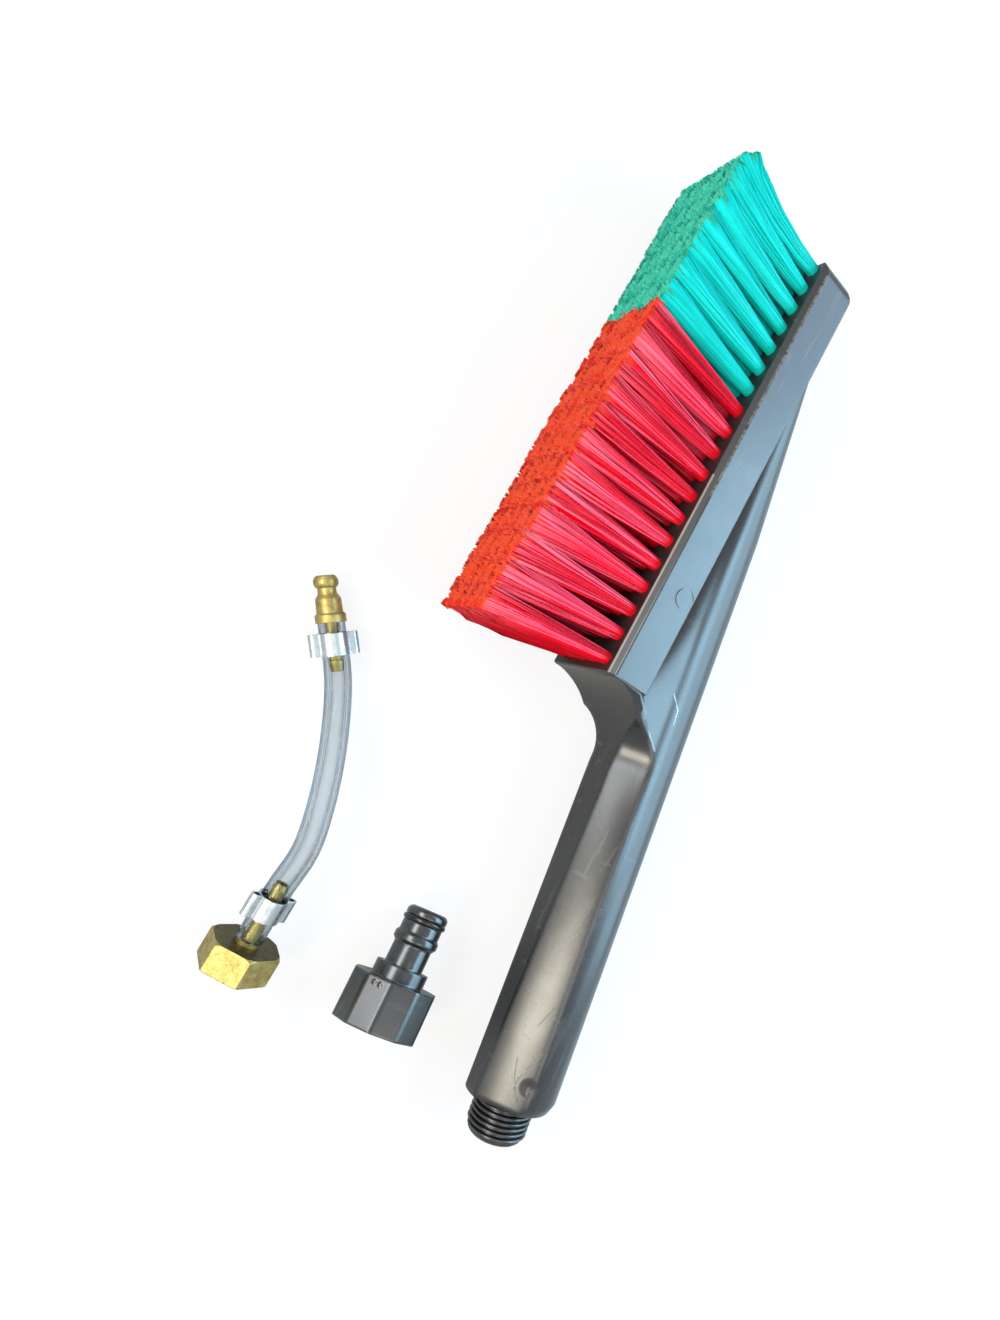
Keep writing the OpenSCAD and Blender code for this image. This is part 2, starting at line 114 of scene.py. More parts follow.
# ---------------------------------------------------------------- materials
class Tree:
    """A node tree, with short ways to add nodes to it."""

    def __init__(self, tree):
        self.nodes = tree.nodes
        self.links = tree.links

    def node(self, kind, **values):
        """A new node; each value is for a property of it, or else for a socket."""
        n = self.nodes.new(kind)
        for key, value in values.items():
            if hasattr(n, key):
                setattr(n, key, value)
            else:
                n.inputs[key].default_value = value
        return n

    def feed(self, socket, value):
        """Gives a socket a node's output, or a number, a vector or a colour."""
        if isinstance(value, bpy.types.NodeSocket):
            self.links.new(value, socket)
        elif socket.type == "RGBA":
            socket.default_value = (*value, 1.0)
        else:
            socket.default_value = value

    def calc(self, op, *values, clamp=False):
        n = self.node("ShaderNodeMath", operation=op, use_clamp=clamp)
        for socket, value in zip(n.inputs, values):
            self.feed(socket, value)
        return n.outputs[0]

    def product(self, *values):
        total = values[0]
        for value in values[1:]:
            total = self.calc("MULTIPLY", total, value)
        return total

    def strongest(self, values):
        total = values[0]
        for value in values[1:]:
            total = self.calc("MAXIMUM", total, value)
        return total

    def vector(self, op, *values):
        """A vector maths node."""
        n = self.node("ShaderNodeVectorMath", operation=op)
        for socket, value in zip(n.inputs, values):
            self.feed(socket, value)
        return n

    def dot(self, a, b):
        return self.vector("DOT_PRODUCT", a, b).outputs["Value"]

    def distance(self, a, b):
        return self.vector("DISTANCE", a, b).outputs["Value"]

    def map_range(self, value, low, high, to_low, to_high, kind="SMOOTHSTEP"):
        n = self.node("ShaderNodeMapRange", interpolation_type=kind)
        keys = ("From Min", "From Max", "To Min", "To Max")
        for key, limit in zip(keys, (low, high, to_low, to_high)):
            n.inputs[key].default_value = limit
        self.feed(n.inputs["Value"], value)
        return n.outputs[0]

    def ramp(self, fac, *stops):
        """A colour ramp; the colour of a stop is three numbers, or one for a grey."""
        n = self.node("ShaderNodeValToRGB")
        points = n.color_ramp.elements
        while len(points) < len(stops):
            points.new(0.5)
        for point, (position, colour) in zip(points, stops):
            if isinstance(colour, (int, float)):
                colour = (colour,) * 3
            point.position = position
            point.color = (*colour, 1.0)
        self.feed(n.inputs["Fac"], fac)
        return n.outputs["Color"]

    def rising(self, fac, low, high):
        return self.ramp(fac, (low, 0.0), (high, 1.0))

    def falling(self, fac, low, high):
        return self.ramp(fac, (low, 1.0), (high, 0.0))

    def mix(self, fac, a, b):
        n = self.node("ShaderNodeMix", data_type="RGBA")
        for socket, value in ((n.inputs["Factor"], fac), (n.inputs[6], a), (n.inputs[7], b)):
            self.feed(socket, value)
        return n.outputs[2]

    def bump(self, height, strength, distance, normal=None):
        n = self.node("ShaderNodeBump", Strength=strength, Distance=distance)
        self.feed(n.inputs["Height"], height)
        if normal is not None:
            self.feed(n.inputs["Normal"], normal)
        return n.outputs["Normal"]

    def bevel(self, radius, samples=4):
        """The normal of rounded edges, with the radius in metres."""
        n = self.node("ShaderNodeBevel", samples=samples)
        self.feed(n.inputs["Radius"], radius)
        return n.outputs["Normal"]

    def seen(self, by_camera, in_gloss, through_clear):
        """How much plain white the camera, a reflection or a clear body sees.

        It is 0 for the light that falls on things."""
        ray = self.node("ShaderNodeLightPath")
        shares = (("Camera", by_camera), ("Glossy", in_gloss), ("Transmission", through_clear))
        total = 0.0
        for kind, share in shares:
            looked = ray.outputs[f"Is {kind} Ray"]
            total = self.calc("MULTIPLY_ADD", looked, share, total, clamp=True)
        return total

    def blend(self, share, dim, bright, output):
        """Gives the output a surface from dim to bright, by the share."""
        mixer = self.node("ShaderNodeMixShader")
        for socket, value in zip(mixer.inputs, (share, dim.outputs[0], bright.outputs[0])):
            self.feed(socket, value)
        self.feed(output.inputs["Surface"], mixer.outputs[0])


class Mat(Tree):
    """A material, with its shader and the place on the surface in metres."""

    def __init__(self, name):
        self.mat = bpy.data.materials.new(name)
        self.mat.use_nodes = True
        super().__init__(self.mat.node_tree)
        self.bsdf = self.nodes["Principled BSDF"]
        self.place = self.node("ShaderNodeTexCoord").outputs["Object"]

    def set(self, **values):
        """Sets the shader's own sockets."""
        for key, value in values.items():
            self.bsdf.inputs[key.replace("_", " ")].default_value = value

    def drive(self, **outputs):
        """Links nodes' outputs to the shader's sockets."""
        for key, output in outputs.items():
            self.links.new(output, self.bsdf.inputs[key.replace("_", " ")])

    def noise(self, scale, detail=4.0, rough=0.5, stretch=None):
        n = self.node("ShaderNodeTexNoise", Scale=scale, Detail=detail, Roughness=rough)
        place = self.place
        if stretch:
            mapping = self.node("ShaderNodeMapping", Scale=stretch)
            self.feed(mapping.inputs["Vector"], place)
            place = mapping.outputs["Vector"]
        self.feed(n.inputs["Vector"], place)
        return n.outputs["Fac"]


def fall_off(m, far, inner, outer):
    """1 up to inner mm, falling to 0 at outer mm."""
    return m.map_range(far, inner * MM, outer * MM, 1.0, 0.0)


def spot(m, point, centre, inner, outer):
    """1 within inner mm of a point on the surface, falling to 0 at outer mm."""
    return fall_off(m, m.distance(point, [v * MM for v in centre]), inner, outer)


def stroke(m, point, points, half):
    """1 along a line of points on the surface, about half mm wide to each side."""
    parts = []
    for a, b in zip(points, points[1:]):
        a, b = Vector(a) * MM, Vector(b) * MM
        span = b - a
        rel = m.vector("SUBTRACT", point, a).outputs[0]
        share = m.calc("MULTIPLY", m.dot(rel, span / span.length_squared), 1.0, clamp=True)
        foot = m.vector("SCALE", span)
        m.feed(foot.inputs["Scale"], share)
        gap = m.distance(rel, foot.outputs[0])
        parts.append(fall_off(m, gap, half * 0.4, half * 1.2))
    return m.strongest(parts)


# Noise scale, stretch and threshold of the fine scratches, in three directions.
SCRATCHES = (
    (420.0, (1.0, 0.05, 1.0), 0.66),
    (330.0, (0.16, 1.0, 0.6), 0.69),
    (260.0, (0.9, 0.12, 0.2), 0.7),
)
BLACK_PLASTIC, SCRATCHED = (0.0095, 0.0105, 0.0115), (0.07, 0.075, 0.08)
# the pale of rubbed edges, also used as a painted highlight on them
PALE_WEAR_AND_HIGHLIGHT = (0.3, 0.29, 0.26)
GATE_SCARS = ((-20.9, -126.0, 22.4), (-19.4, -125.9, 23.8))  # on the adapter


def black_base(m, soft, rough, grain, scratch):
    """What both black parts have: fine grain, patches of scratches and pale edges, partly wear and
    partly a painted highlight.

    soft is the normal of the rounded edges. Returns how pale the edges are painted, as wear
    and as a painted highlight, and the normal, the colour and the roughness."""
    normal = m.bump(m.noise(grain, 3.0), 0.07, 0.00005, soft)
    normal = m.bump(m.noise(46.0, 2.0), 0.12, 0.0006, normal)
    lines = None
    for scale, stretch, low in SCRATCHES:
        line = m.rising(m.noise(scale, 1.0, 0.5, stretch), low, low + 0.04)
        lines = line if lines is None else m.calc("ADD", lines, line, clamp=True)
    lines = m.product(lines, m.rising(m.noise(30.0, 4.0, 0.65), 0.42, 0.62))
    patches = m.calc("MULTIPLY_ADD", m.noise(38.0, 5.0, 0.7), 0.16, rough - 0.08)
    roughness = m.calc("MULTIPLY_ADD", lines, 0.03, patches)
    # edges are painted pale where the rounded normal leaves the true one: partly wear, partly a
    # painted highlight
    true = m.node("ShaderNodeNewGeometry").outputs["Normal"]
    edge = m.falling(m.dot(soft, true), 0.9, 0.985)
    edge_wear_and_highlight = m.product(edge, m.rising(m.noise(330.0, 5.0, 0.7), 0.45, 0.62))
    colour = m.mix(m.product(lines, scratch), BLACK_PLASTIC, SCRATCHED)
    return edge_wear_and_highlight, normal, colour, roughness


def fitting_black(name):
    """The adapter's plastic, pale on its edges as wear and as a painted highlight, with two scars
    of its gate.
    """
    m = Mat(name)
    m.set(Specular_IOR_Level=0.95)
    soft = m.bevel(0.0009, 12)
    edge_wear_and_highlight, normal, colour, roughness = black_base(m, soft, 0.25, 1900.0, 0.35)
    colour = m.mix(m.product(edge_wear_and_highlight, 0.3), colour, PALE_WEAR_AND_HIGHLIGHT)
    scars = [spot(m, m.place, scar, 0.2, 1.0) for scar in GATE_SCARS]
    normal = m.bump(m.calc("ADD", *scars), 1.0, 0.00016, normal)
    m.drive(Base_Color=colour, Roughness=roughness, Normal=normal)
    return m.mat


def body_black(name):
    """The brush's plastic. What only it has is placed by the brush's own axes, in metres."""
    m = Mat(name)
    m.set(Specular_IOR_Level=0.8)
    own = m.node("ShaderNodeMapping", vector_type="TEXTURE")
    own.inputs["Location"].default_value = BRUSH.to_translation()
    own.inputs["Rotation"].default_value = (0, math.radians(BRUSH_TILT), 0)
    m.feed(own.inputs["Vector"], m.place)
    point = own.outputs["Vector"]
    axes = m.node("ShaderNodeSeparateXYZ")
    m.feed(axes.inputs[0], point)
    x, y, z = axes.outputs
    # edges are rounder behind the block, on the spine and the handle
    rounder = m.product(m.calc("GREATER_THAN", x, 0.0185), 0.0028)
    soft = m.bevel(m.calc("MAXIMUM", rounder, 0.0007), 12)
    edge_wear_and_highlight, normal, colour, roughness = black_base(m, soft, 0.27, 2600.0, 0.5)
    # the block's edges are painted pale, as wear and as a painted highlight; the handle's aren't
    block = m.map_range(y, -0.02, 0.0, 0.0, 0.4, "LINEAR")
    colour = m.mix(m.product(edge_wear_and_highlight, block), colour, PALE_WEAR_AND_HIGHLIGHT)
    # the front edges of the block are duller
    front_edge = m.calc("LESS_THAN", x, 0.0017)
    roughness = m.calc("MULTIPLY_ADD", front_edge, 0.2, roughness)
    normal = body_crowns(m, point, x, y, z, normal)
    normal, colour = body_marks(m, point, normal, colour)
    colour = body_rubs(m, point, colour)
    m.drive(Base_Color=colour, Roughness=roughness, Normal=normal)
    return m.mat


def body_crowns(m, point, x, y, z, normal):
    """The crown of the walls beside the spine and of the handle's side flats."""
    deep = 0.003  # how deep it starts, and over what length it falls to a third
    fall = m.calc("MULTIPLY_ADD", x, -1 / deep, 0.0156 / deep)
    to_tip = m.map_range(y, -0.004, 0.035, 0.0, 1.0)
    behind = m.calc("GREATER_THAN", x, 0.0161)
    crown = m.product(m.calc("EXPONENT", fall), -deep, to_tip, behind)
    normal = m.bump(crown, 1.0, 1.0, normal)
    # back is how far a point lies behind the handle's axis, height how far to its side
    lean_x = m.dot(point, (GRIP_COS, GRIP_SIN, 0.0))
    back = m.calc("SUBTRACT", lean_x, GRIP_X * GRIP_COS * MM)
    height = m.calc("ABSOLUTE", z)
    # across runs over a side flat, from a line near its front edge
    across = m.calc("MULTIPLY_ADD", m.calc("ADD", back, height), 0.7071, -0.0014)
    flat = m.calc("GREATER_THAN", m.calc("SUBTRACT", height, back), 0.0172)
    to_handle = m.map_range(y, -0.018, -0.04, 0.0, -9.0)
    return m.bump(m.product(across, across, flat, to_handle), 1.0, 1.0, normal)


# Scratches on the handle's side flat: points across and along it in the handle's axes, half width.
FLAT_SCRATCHES = (
    (((-5.2, -124.3), (-6.5, -126.5), (-6.7, -129.5), (-5.4, -132.2)), 0.2),
    (((-8.4, -120.5), (-7.4, -127.0), (-4.8, -133.5)), 0.13),
    (((-3.0, -116.5), (-5.4, -123.0)), 0.16),
    (((-4.2, -102.0), (-6.4, -109.0)), 0.12),
)
FLAT_Z = 18.4  # height of the side flat over the handle's axis, less the distance across


def body_marks(m, point, normal, colour):
    """Marks of the mould, the scratches on the handle and the scuffed ring on the block."""
    # a dimple with a raised dot in it at the handle end, and a small knob higher up
    pit = m.product(spot(m, point, (49.0, -127.3, 15.0), 0.4, 3.7), -1.0)
    dot = m.product(spot(m, point, (49.9, -128.4, 14.4), 0.2, 1.3), 0.4)
    normal = m.bump(m.calc("ADD", pit, dot), 1.0, 0.00034, normal)
    normal = m.bump(spot(m, point, (32.2, -30.1, 14.9), 0.2, 0.8), 1.0, 0.0003, normal)
    marks = []
    for line, half in FLAT_SCRATCHES:
        places = [
            (GRIP_X + GRIP_COS * p - GRIP_SIN * q, GRIP_SIN * p + GRIP_COS * q, FLAT_Z + p)
            for p, q in line
        ]
        marks.append(stroke(m, point, places, half))
    marks = m.strongest(marks)
    normal = m.bump(marks, 1.0, -0.00003, normal)
    colour = m.mix(m.product(marks, 0.35), colour, (0.34, 0.31, 0.23))
    centre = (11.3, 33.9, 20)
    ring = m.calc("SUBTRACT", spot(m, point, centre, 3.6, 4.1), spot(m, point, centre, 3.0, 3.5))
    ring = m.product(ring, m.rising(m.noise(160.0, 3.0), 0.42, 0.6))
    return m.bump(ring, 0.5, -0.0002, normal), colour


# Lines on the body that are painted pale, in the brush's own axes: a scratch, a painted highlight
# on the neck's edge, and the face's lips, partly wear and partly a painted highlight.
SPINE_SCRATCH = ((28.2, 6.9, 15.9), (32.6, 2.7, 16.2), (33.6, -2.1, 16.2))
NECK_HIGHLIGHT_LINE = (
    (2.2, 0, 20),
    (14, -0.5, 19.6),
    (17.1, -2.4, 18.5),
    (27.0, -9.3, 15.9),
    (31.7, -13, 15.9),
)
NEAR_LIP = ((0.15, 0, 18.05), (0.15, 75, 18.05))
FAR_LIP = ((1.9, 68, 19.9), (1.9, 160, 19.9))


def body_rubs(m, point, colour):
    """Paints pale a scratch on the spine, a painted highlight along the neck's edge, and the edges
    of the face, partly wear and partly a painted highlight.
    """
    broken = m.rising(m.noise(700.0, 3.0, 0.6), 0.4, 0.55)
    spine = stroke(m, point, SPINE_SCRATCH, 0.22)
    colour = m.mix(m.product(spine, broken), colour, (0.5, 0.6, 0.66))
    # painted highlight: a pale blue line along the neck's edge
    neck_highlight = stroke(m, point, NECK_HIGHLIGHT_LINE, 0.4)
    colour = m.mix(m.product(neck_highlight, 0.55), colour, (0.42, 0.5, 0.54))
    # the lips of the face: partly wear, partly a painted highlight
    near_lip = m.product(stroke(m, point, NEAR_LIP, 0.5), 0.6)
    far_lip = m.product(stroke(m, point, FAR_LIP, 0.5), broken, 0.35)
    return m.mix(m.calc("ADD", near_lip, far_lip, clamp=True), colour, (0.46, 0.44, 0.37))


def bristle(name, tones, root, tip_highlight, cuts):
    """Bristles, by the mesh's own colours: red is the tone, green the share of the length,
    blue 1 on cut ends. tones run from shaded to lit sides, painted shade to painted highlight,
    cuts the same on the cut ends;
    root colours the root end of the sides, and tip_highlight paints a highlight on their lit tip
    ends."""
    m = Mat(name)
    m.set(Roughness=0.5, Specular_IOR_Level=0.15)
    own = m.node("ShaderNodeAttribute", attribute_name="fib").outputs["Color"]
    parts = m.node("ShaderNodeSeparateColor")
    m.feed(parts.inputs["Color"], own)
    tone, along, cut = parts.outputs
    shade = m.calc("MULTIPLY_ADD", m.noise(1100.0, 2.0), 0.3, m.calc("SUBTRACT", tone, 0.15))
    sides = m.mix(m.falling(along, 0.02, 0.09), m.ramp(shade, *tones), root)
    lit = m.calc("MULTIPLY", tone, 0.95, clamp=True)
    # painted highlight: lit sides turn pale towards the tip end
    sides = m.mix(m.product(m.rising(along, 0.55, 0.95), lit), sides, tip_highlight)
    m.drive(Base_Color=m.mix(cut, sides, m.ramp(shade, *cuts)))
    return m.mat


def brass(name):
    m = Mat(name)
    m.set(Metallic=1.0)
    blot = m.noise(420.0, 5.0, 0.7)
    tones = ((0.34, (0.28, 0.215, 0.075)), (0.5, (0.4, 0.31, 0.105)), (0.72, (0.5, 0.41, 0.18)))
    pits = m.falling(m.noise(2300.0, 3.0, 0.6), 0.3, 0.42)
    colour = m.mix(m.product(pits, 0.5), m.ramp(blot, *tones), (0.12, 0.08, 0.03))
    # painted shade: faces square to the nut's axis that look toward the hose are painted dark,
    # standing in for the dark ground they would reflect
    true = m.node("ShaderNodeNewGeometry").outputs["True Normal"]
    shaded_face = m.product(m.calc("GREATER_THAN", m.dot(true, NUT_AXIS), 0.93), 0.85)
    colour = m.mix(shaded_face, colour, m.mix(blot, (0.03, 0.022, 0.01), (0.11, 0.085, 0.04)))
    fine = m.noise(1900.0, 4.0, 0.6)
    normal = m.bump(fine, 0.3, 0.00006, m.bevel(0.0004))
    m.drive(Base_Color=colour, Roughness=m.ramp(fine, (0.3, 0.36), (0.75, 0.58)), Normal=normal)
    return m.mat


def zinc(name):
    m = Mat(name)
    m.set(Metallic=1.0)
    blot = m.noise(420.0, 5.0, 0.6)
    m.drive(
        Base_Color=m.ramp(blot, (0.3, (0.34, 0.39, 0.41)), (0.7, (0.6, 0.65, 0.66))),
        Roughness=m.ramp(blot, (0.3, 0.4), (0.7, 0.24)),
        Normal=m.bump(blot, 0.2, 0.0001, m.bevel(0.00015)),
    )
    return m.mat


def clear_pvc(name):
    """Clear in the middle, bluer and denser towards the rims, where the wall is seen edge on; near
    black at the rims, a painted shade for dark surroundings seen through the wall.
    """
    m = Mat(name)
    m.set(IOR=1.3, Transmission_Weight=1.0, Specular_IOR_Level=0.3)
    rim = m.node("ShaderNodeLayerWeight", Blend=0.5).outputs["Facing"]
    # the PVC's blue tint, darkened at the rims as a painted shade
    tint_and_rim_shade = (
        (0.0, (0.22, 0.31, 0.37)),
        (0.12, (0.2, 0.28, 0.34)),
        (0.35, (0.12, 0.18, 0.24)),
        (0.75, (0.02, 0.05, 0.1)),
    )
    m.drive(
        Base_Color=m.ramp(rim, *tint_and_rim_shade),
        Alpha=m.ramp(rim, (0.0, 0.22), (0.4, 0.55), (0.7, 1.0)),
        Roughness=m.ramp(m.noise(300.0, 4.0), (0.4, 0.03), (0.8, 0.08)),
        Normal=m.bump(m.noise(90.0, 3.0), 0.05, 0.0004),
    )
    return m.mat


def rubber(name, rough):
    m = Mat(name)
    m.set(Specular_IOR_Level=0.5)
    grain = m.noise(700.0, 3.0)
    m.drive(
        Base_Color=m.ramp(grain, (0.35, (0.009, 0.009, 0.01)), (0.7, (0.016, 0.016, 0.018))),
        Roughness=m.ramp(grain, (0.3, rough), (0.8, rough + 0.12)),
        Normal=m.bump(grain, 0.1, 0.0001),
    )
    return m.mat


BODY = body_black("moulded_black")
FITTING = fitting_black("fitting_black")
RED = bristle(
    "bristle_red",
    tones=(
        (0.0, (0.2, 0.0, 0.014)),
        (0.12, (0.8, 0.0, 0.014)),
        (0.36, (0.97, 0.002, 0.02)),
        (0.6, (0.98, 0.032, 0.085)),
        (1.0, (1.0, 0.13, 0.22)),
    ),
    root=(0.85, 0.0, 0.01),
    tip_highlight=(1.0, 0.2, 0.25),
    cuts=((0.0, (0.7, 0.01, 0.003)), (0.3, (1.0, 0.045, 0.014)), (0.9, (1.0, 0.12, 0.04))),
)
GREEN = bristle(
    "bristle_green",
    tones=(
        (0.0, (0.0, 0.45, 0.39)),
        (0.12, (0.0, 0.54, 0.47)),
        (0.36, (0.0, 0.58, 0.5)),
        (0.6, (0.0, 0.65, 0.57)),
        (1.0, (0.02, 0.76, 0.68)),
    ),
    root=(0.0, 0.55, 0.46),
    tip_highlight=(0.0, 0.68, 0.58),
    cuts=((0.0, (0.01, 0.28, 0.17)), (0.3, (0.03, 0.5, 0.34)), (0.9, (0.1, 0.74, 0.52))),
)
BRASS = brass("brass")
ZINC = zinc("zinc_plate")
PVC = clear_pvc("clear_pvc")
ORING = rubber("seal_rubber", 0.16)
WASHER = rubber("washer_rubber", 0.5)

for node, material in (
    ("brush_body", BODY),
    ("adapter_body", FITTING),
    ("adapter_oring", ORING),
    ("adapter_gasket", WASHER),
    ("swivel_nut", BRASS),
    ("nut_gasket", WASHER),
    ("hose_tail", BRASS),
    ("lower_clamp", ZINC),
    ("upper_clamp", ZINC),
    ("plug_nipple", BRASS),
):
    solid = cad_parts[node]
    if not solid.material_slots:
        solid.data.materials.append(material)
    for slot in solid.material_slots:
        slot.material = material

# ---------------------------------------------------------------- bristles
# The tufts stand in a grid on the face: k counts along the head, j across it. Points are in
# the brush's own axes, where a bristle's tip is at x = -LENGTH.
ROWS, COLS, RED_COLS = 5, 19, 12
LAST_ROW, LAST_COL = ROWS - 1, COLS - 1
ROW_PITCH, COL_PITCH, FIRST = 6.6, 8.8, 4.6
LENGTH = 46.4
FAN = 8.0  # lean of the first and the last tufts along the head, in degrees
Y_LOW, Y_HIGH, Z_OUT = -4.9, 172.5, 16.4  # bristles stay within these before they bend
EDGE_STRANDS, INNER_STRANDS, STUBS = 370, 80, 300  # to a tuft
STRAND_RADIUS, STUB_RADIUS, ROOT_RADIUS = 0.155, 0.2, 2.08
REACH_Y, REACH_Z = 5.3, 3.6  # half sizes of a tuft at its tip
FACE_Y, FACE_Z = 4.7, 3.3  # half sizes of its face of short ends
CORE_ROOT, CORE_Y, CORE_Z = 1.5, 4.25, 3.05  # half sizes of its core at the root and the top
CORE_LOWER = 1.2  # how much shorter the core is than the bristles
LOCKS = 13  # to a tuft
GATHER = 0.24  # how far bristles turn to the middle of their lock by their tips
SQUARE = 0.42  # how far a tuft goes from round to square by its tip
TRIM_FROM, TRIM_OVER, TRIM_MOST = 166.0, 7.0, 5.6  # slope of the cut at the head's tip
# Where the rings of a bristle are, as shares of its length.
T_RINGS = np.array([-0.02, 0.22, 0.5, 0.78, 0.975, 1.0])
# How much shorter each tuft is, by itself and with its neighbours.
RISE = rng.uniform(0, 0.35, (COLS, ROWS))
RISE = RISE + np.repeat(rng.uniform(0, 0.9, (7, ROWS)), 3, axis=0)[:COLS]


def last_tuft(k, u, y):
    """How far the tufts at the tip bend outwards at u of their length, and how far their
    outer bristles are trimmed."""
    share = {LAST_COL: 1.0, LAST_COL - 1: 0.55, LAST_COL - 2: 0.25}.get(k, 0.0)
    bend = share * (0.5 * u**4 - 12.0 * u * (1 - u))
    reach = np.clip((y + bend - TRIM_FROM) / TRIM_OVER, 0, 1) if share else 0.0 * y
    return bend + 0.0 * y, TRIM_MOST * reach**1.5


def fold(v, low, high):
    """Values outside the limits are mirrored back in."""
    v = np.where(v < low, 2 * low - v, v)
    return np.where(v > high, 2 * high - v, v)


def tuft_centre(k, j, t):
    lean = math.radians(-FAN + 2 * FAN * k / LAST_COL)
    y = FIRST + COL_PITCH * k + LENGTH * np.clip(t, 0, 1) * math.tan(lean)
    return y, (j - ROWS // 2) * ROW_PITCH


def strands(k, j, count):
    """Centre lines of the long bristles round one tuft, (count, rings, 3), and their tones."""
    outward = []
    if j in (0, LAST_ROW):
        outward.append(math.copysign(math.pi / 2, j - 1))
    if k in (0, LAST_COL):
        outward.append(math.pi if k == 0 else 0.0)
    ang = rng.uniform(-math.pi, math.pi, count)
    for i, side in enumerate(outward):
        # a third of them stands where it shows, on each side that does
        some = slice(i * count // 3, (i + 1) * count // 3)
        ang[some] = side + rng.uniform(-1.45, 1.45, ang[some].shape)
    rad = np.sqrt(rng.uniform(0.5, 1.0, count))
    # bristles gather into a few locks, each lit or shaded as one
    locks = np.sort(rng.uniform(-math.pi, math.pi, LOCKS))
    lit = rng.uniform(0, 1, LOCKS) < 0.62
    lock_tone = np.where(lit, rng.uniform(0.58, 0.95, LOCKS), rng.uniform(0.12, 0.35, LOCKS))
    gap = (ang[:, None] - locks[None] + math.pi) % (2 * math.pi) - math.pi
    near = np.argmin(np.abs(gap), axis=1)
    turn = -gap[np.arange(count), near]
    tone = lock_tone[near] + rng.normal(0, 0.2, count)
    # painted shade: bristles on the handle-side face of the first tufts take a shaded tone
    if k == 0:
        tone = np.where(np.cos(ang) < -0.45, 0.24, tone)
    # painted shade: a fifth of the bristles are dark, as the shade between lit bristles
    dark = rng.uniform(0, 1, count) < 0.2
    tone = np.where(dark, rng.uniform(0, 0.14, count), tone)
    # a lock's outer bristles lie a little lower, so it reads as one rounded lane
    rad = rad - 0.05 * np.minimum(np.abs(turn) / 0.25, 1.0)
    reach_y = (REACH_Y + rng.normal(0, 0.5, LOCKS)[near] + rng.normal(0, 0.3, count)) * rad
    reach_z = (REACH_Z + rng.normal(0, 0.2, count)) * rad
    root = ROOT_RADIUS * rad
    bow = rng.normal(0, 0.18, (count, 2)) + rng.normal(0, 0.22, (LOCKS, 2))[near]
    low = Y_LOW if k == 0 else -99
    high = Y_HIGH if k == LAST_COL else 999
    out = np.empty((count, len(T_RINGS), 3))
    for i, t in enumerate(T_RINGS):
        u = min(max(t, 0), 1)
        a = ang + turn * GATHER * u
        c, s = np.cos(a), np.sin(a)
        ry = root + (reach_y - root) * u
        rz = root + (reach_z - root) * u**0.8
        cy, cz = tuft_centre(k, j, t)
        wave = math.sin(math.pi * u)
        # round at the root, squarer towards the tips, where the tufts meet
        power = 1 - SQUARE * u
        y = cy + ry * np.sign(c) * np.abs(c) ** power + bow[:, 0] * wave
        z = cz + rz * np.sign(s) * np.abs(s) ** power + bow[:, 1] * wave
        y = fold(y, low, high)
        bend, trim = last_tuft(k, u, y)
        out[:, i, 0] = -LENGTH * t + trim * u
        out[:, i, 1] = y + bend
        out[:, i, 2] = fold(z, -Z_OUT, Z_OUT)
    out[:, -1, 0] += RISE[k, j] * 0.7 + rng.uniform(0, 1, count) ** 3 * 1.1
    out[:, -2, 0] += RISE[k, j] * 0.7
    return out, np.clip(tone, 0, 1)


def stubs(k, j, count):
    """Centre lines of the short bristle ends that make a tuft's cut face, and their tones."""
    u = rng.uniform(-1, 1, count)
    v = rng.uniform(-1, 1, count)
    cy, cz = tuft_centre(k, j, 1.0)
    y = fold(cy + u * FACE_Y, Y_LOW + 0.3, Y_HIGH - 0.3)
    z = fold(cz + v * FACE_Z, -Z_OUT + 0.5, Z_OUT - 0.5)
    bend, trim = last_tuft(k, 1.0, y)
    y = y + bend
    out = np.empty((count, 2, 3))
    dome = trim + 0.2 * u * u + 0.35 * v**4 + rng.uniform(0, 0.5, count) + RISE[k, j]
    # the inner ends lie 2 mm deep and a little astray
    for i, (deep, astray) in enumerate(((2.0, 1.0), (0.0, 0.0))):
        out[:, i, 0] = -LENGTH + dome + deep
        out[:, i, 1] = y - (y - cy) * 0.02 * deep + rng.normal(0, 0.3, count) * astray
        out[:, i, 2] = z - (z - cz) * 0.02 * deep + rng.normal(0, 0.3, count) * astray
    # painted shade: cut ends darken towards the face's sides next to the neighbouring rows;
    # otherwise their tone differs at random
    tone = np.clip(0.95 - rng.uniform(0, 1, count) ** 3 * 0.8 - 0.15 * v**4, 0, 1)
    return out, tone


def unit(v):
    return v / np.maximum(np.linalg.norm(v, axis=-1, keepdims=True), 1e-9)


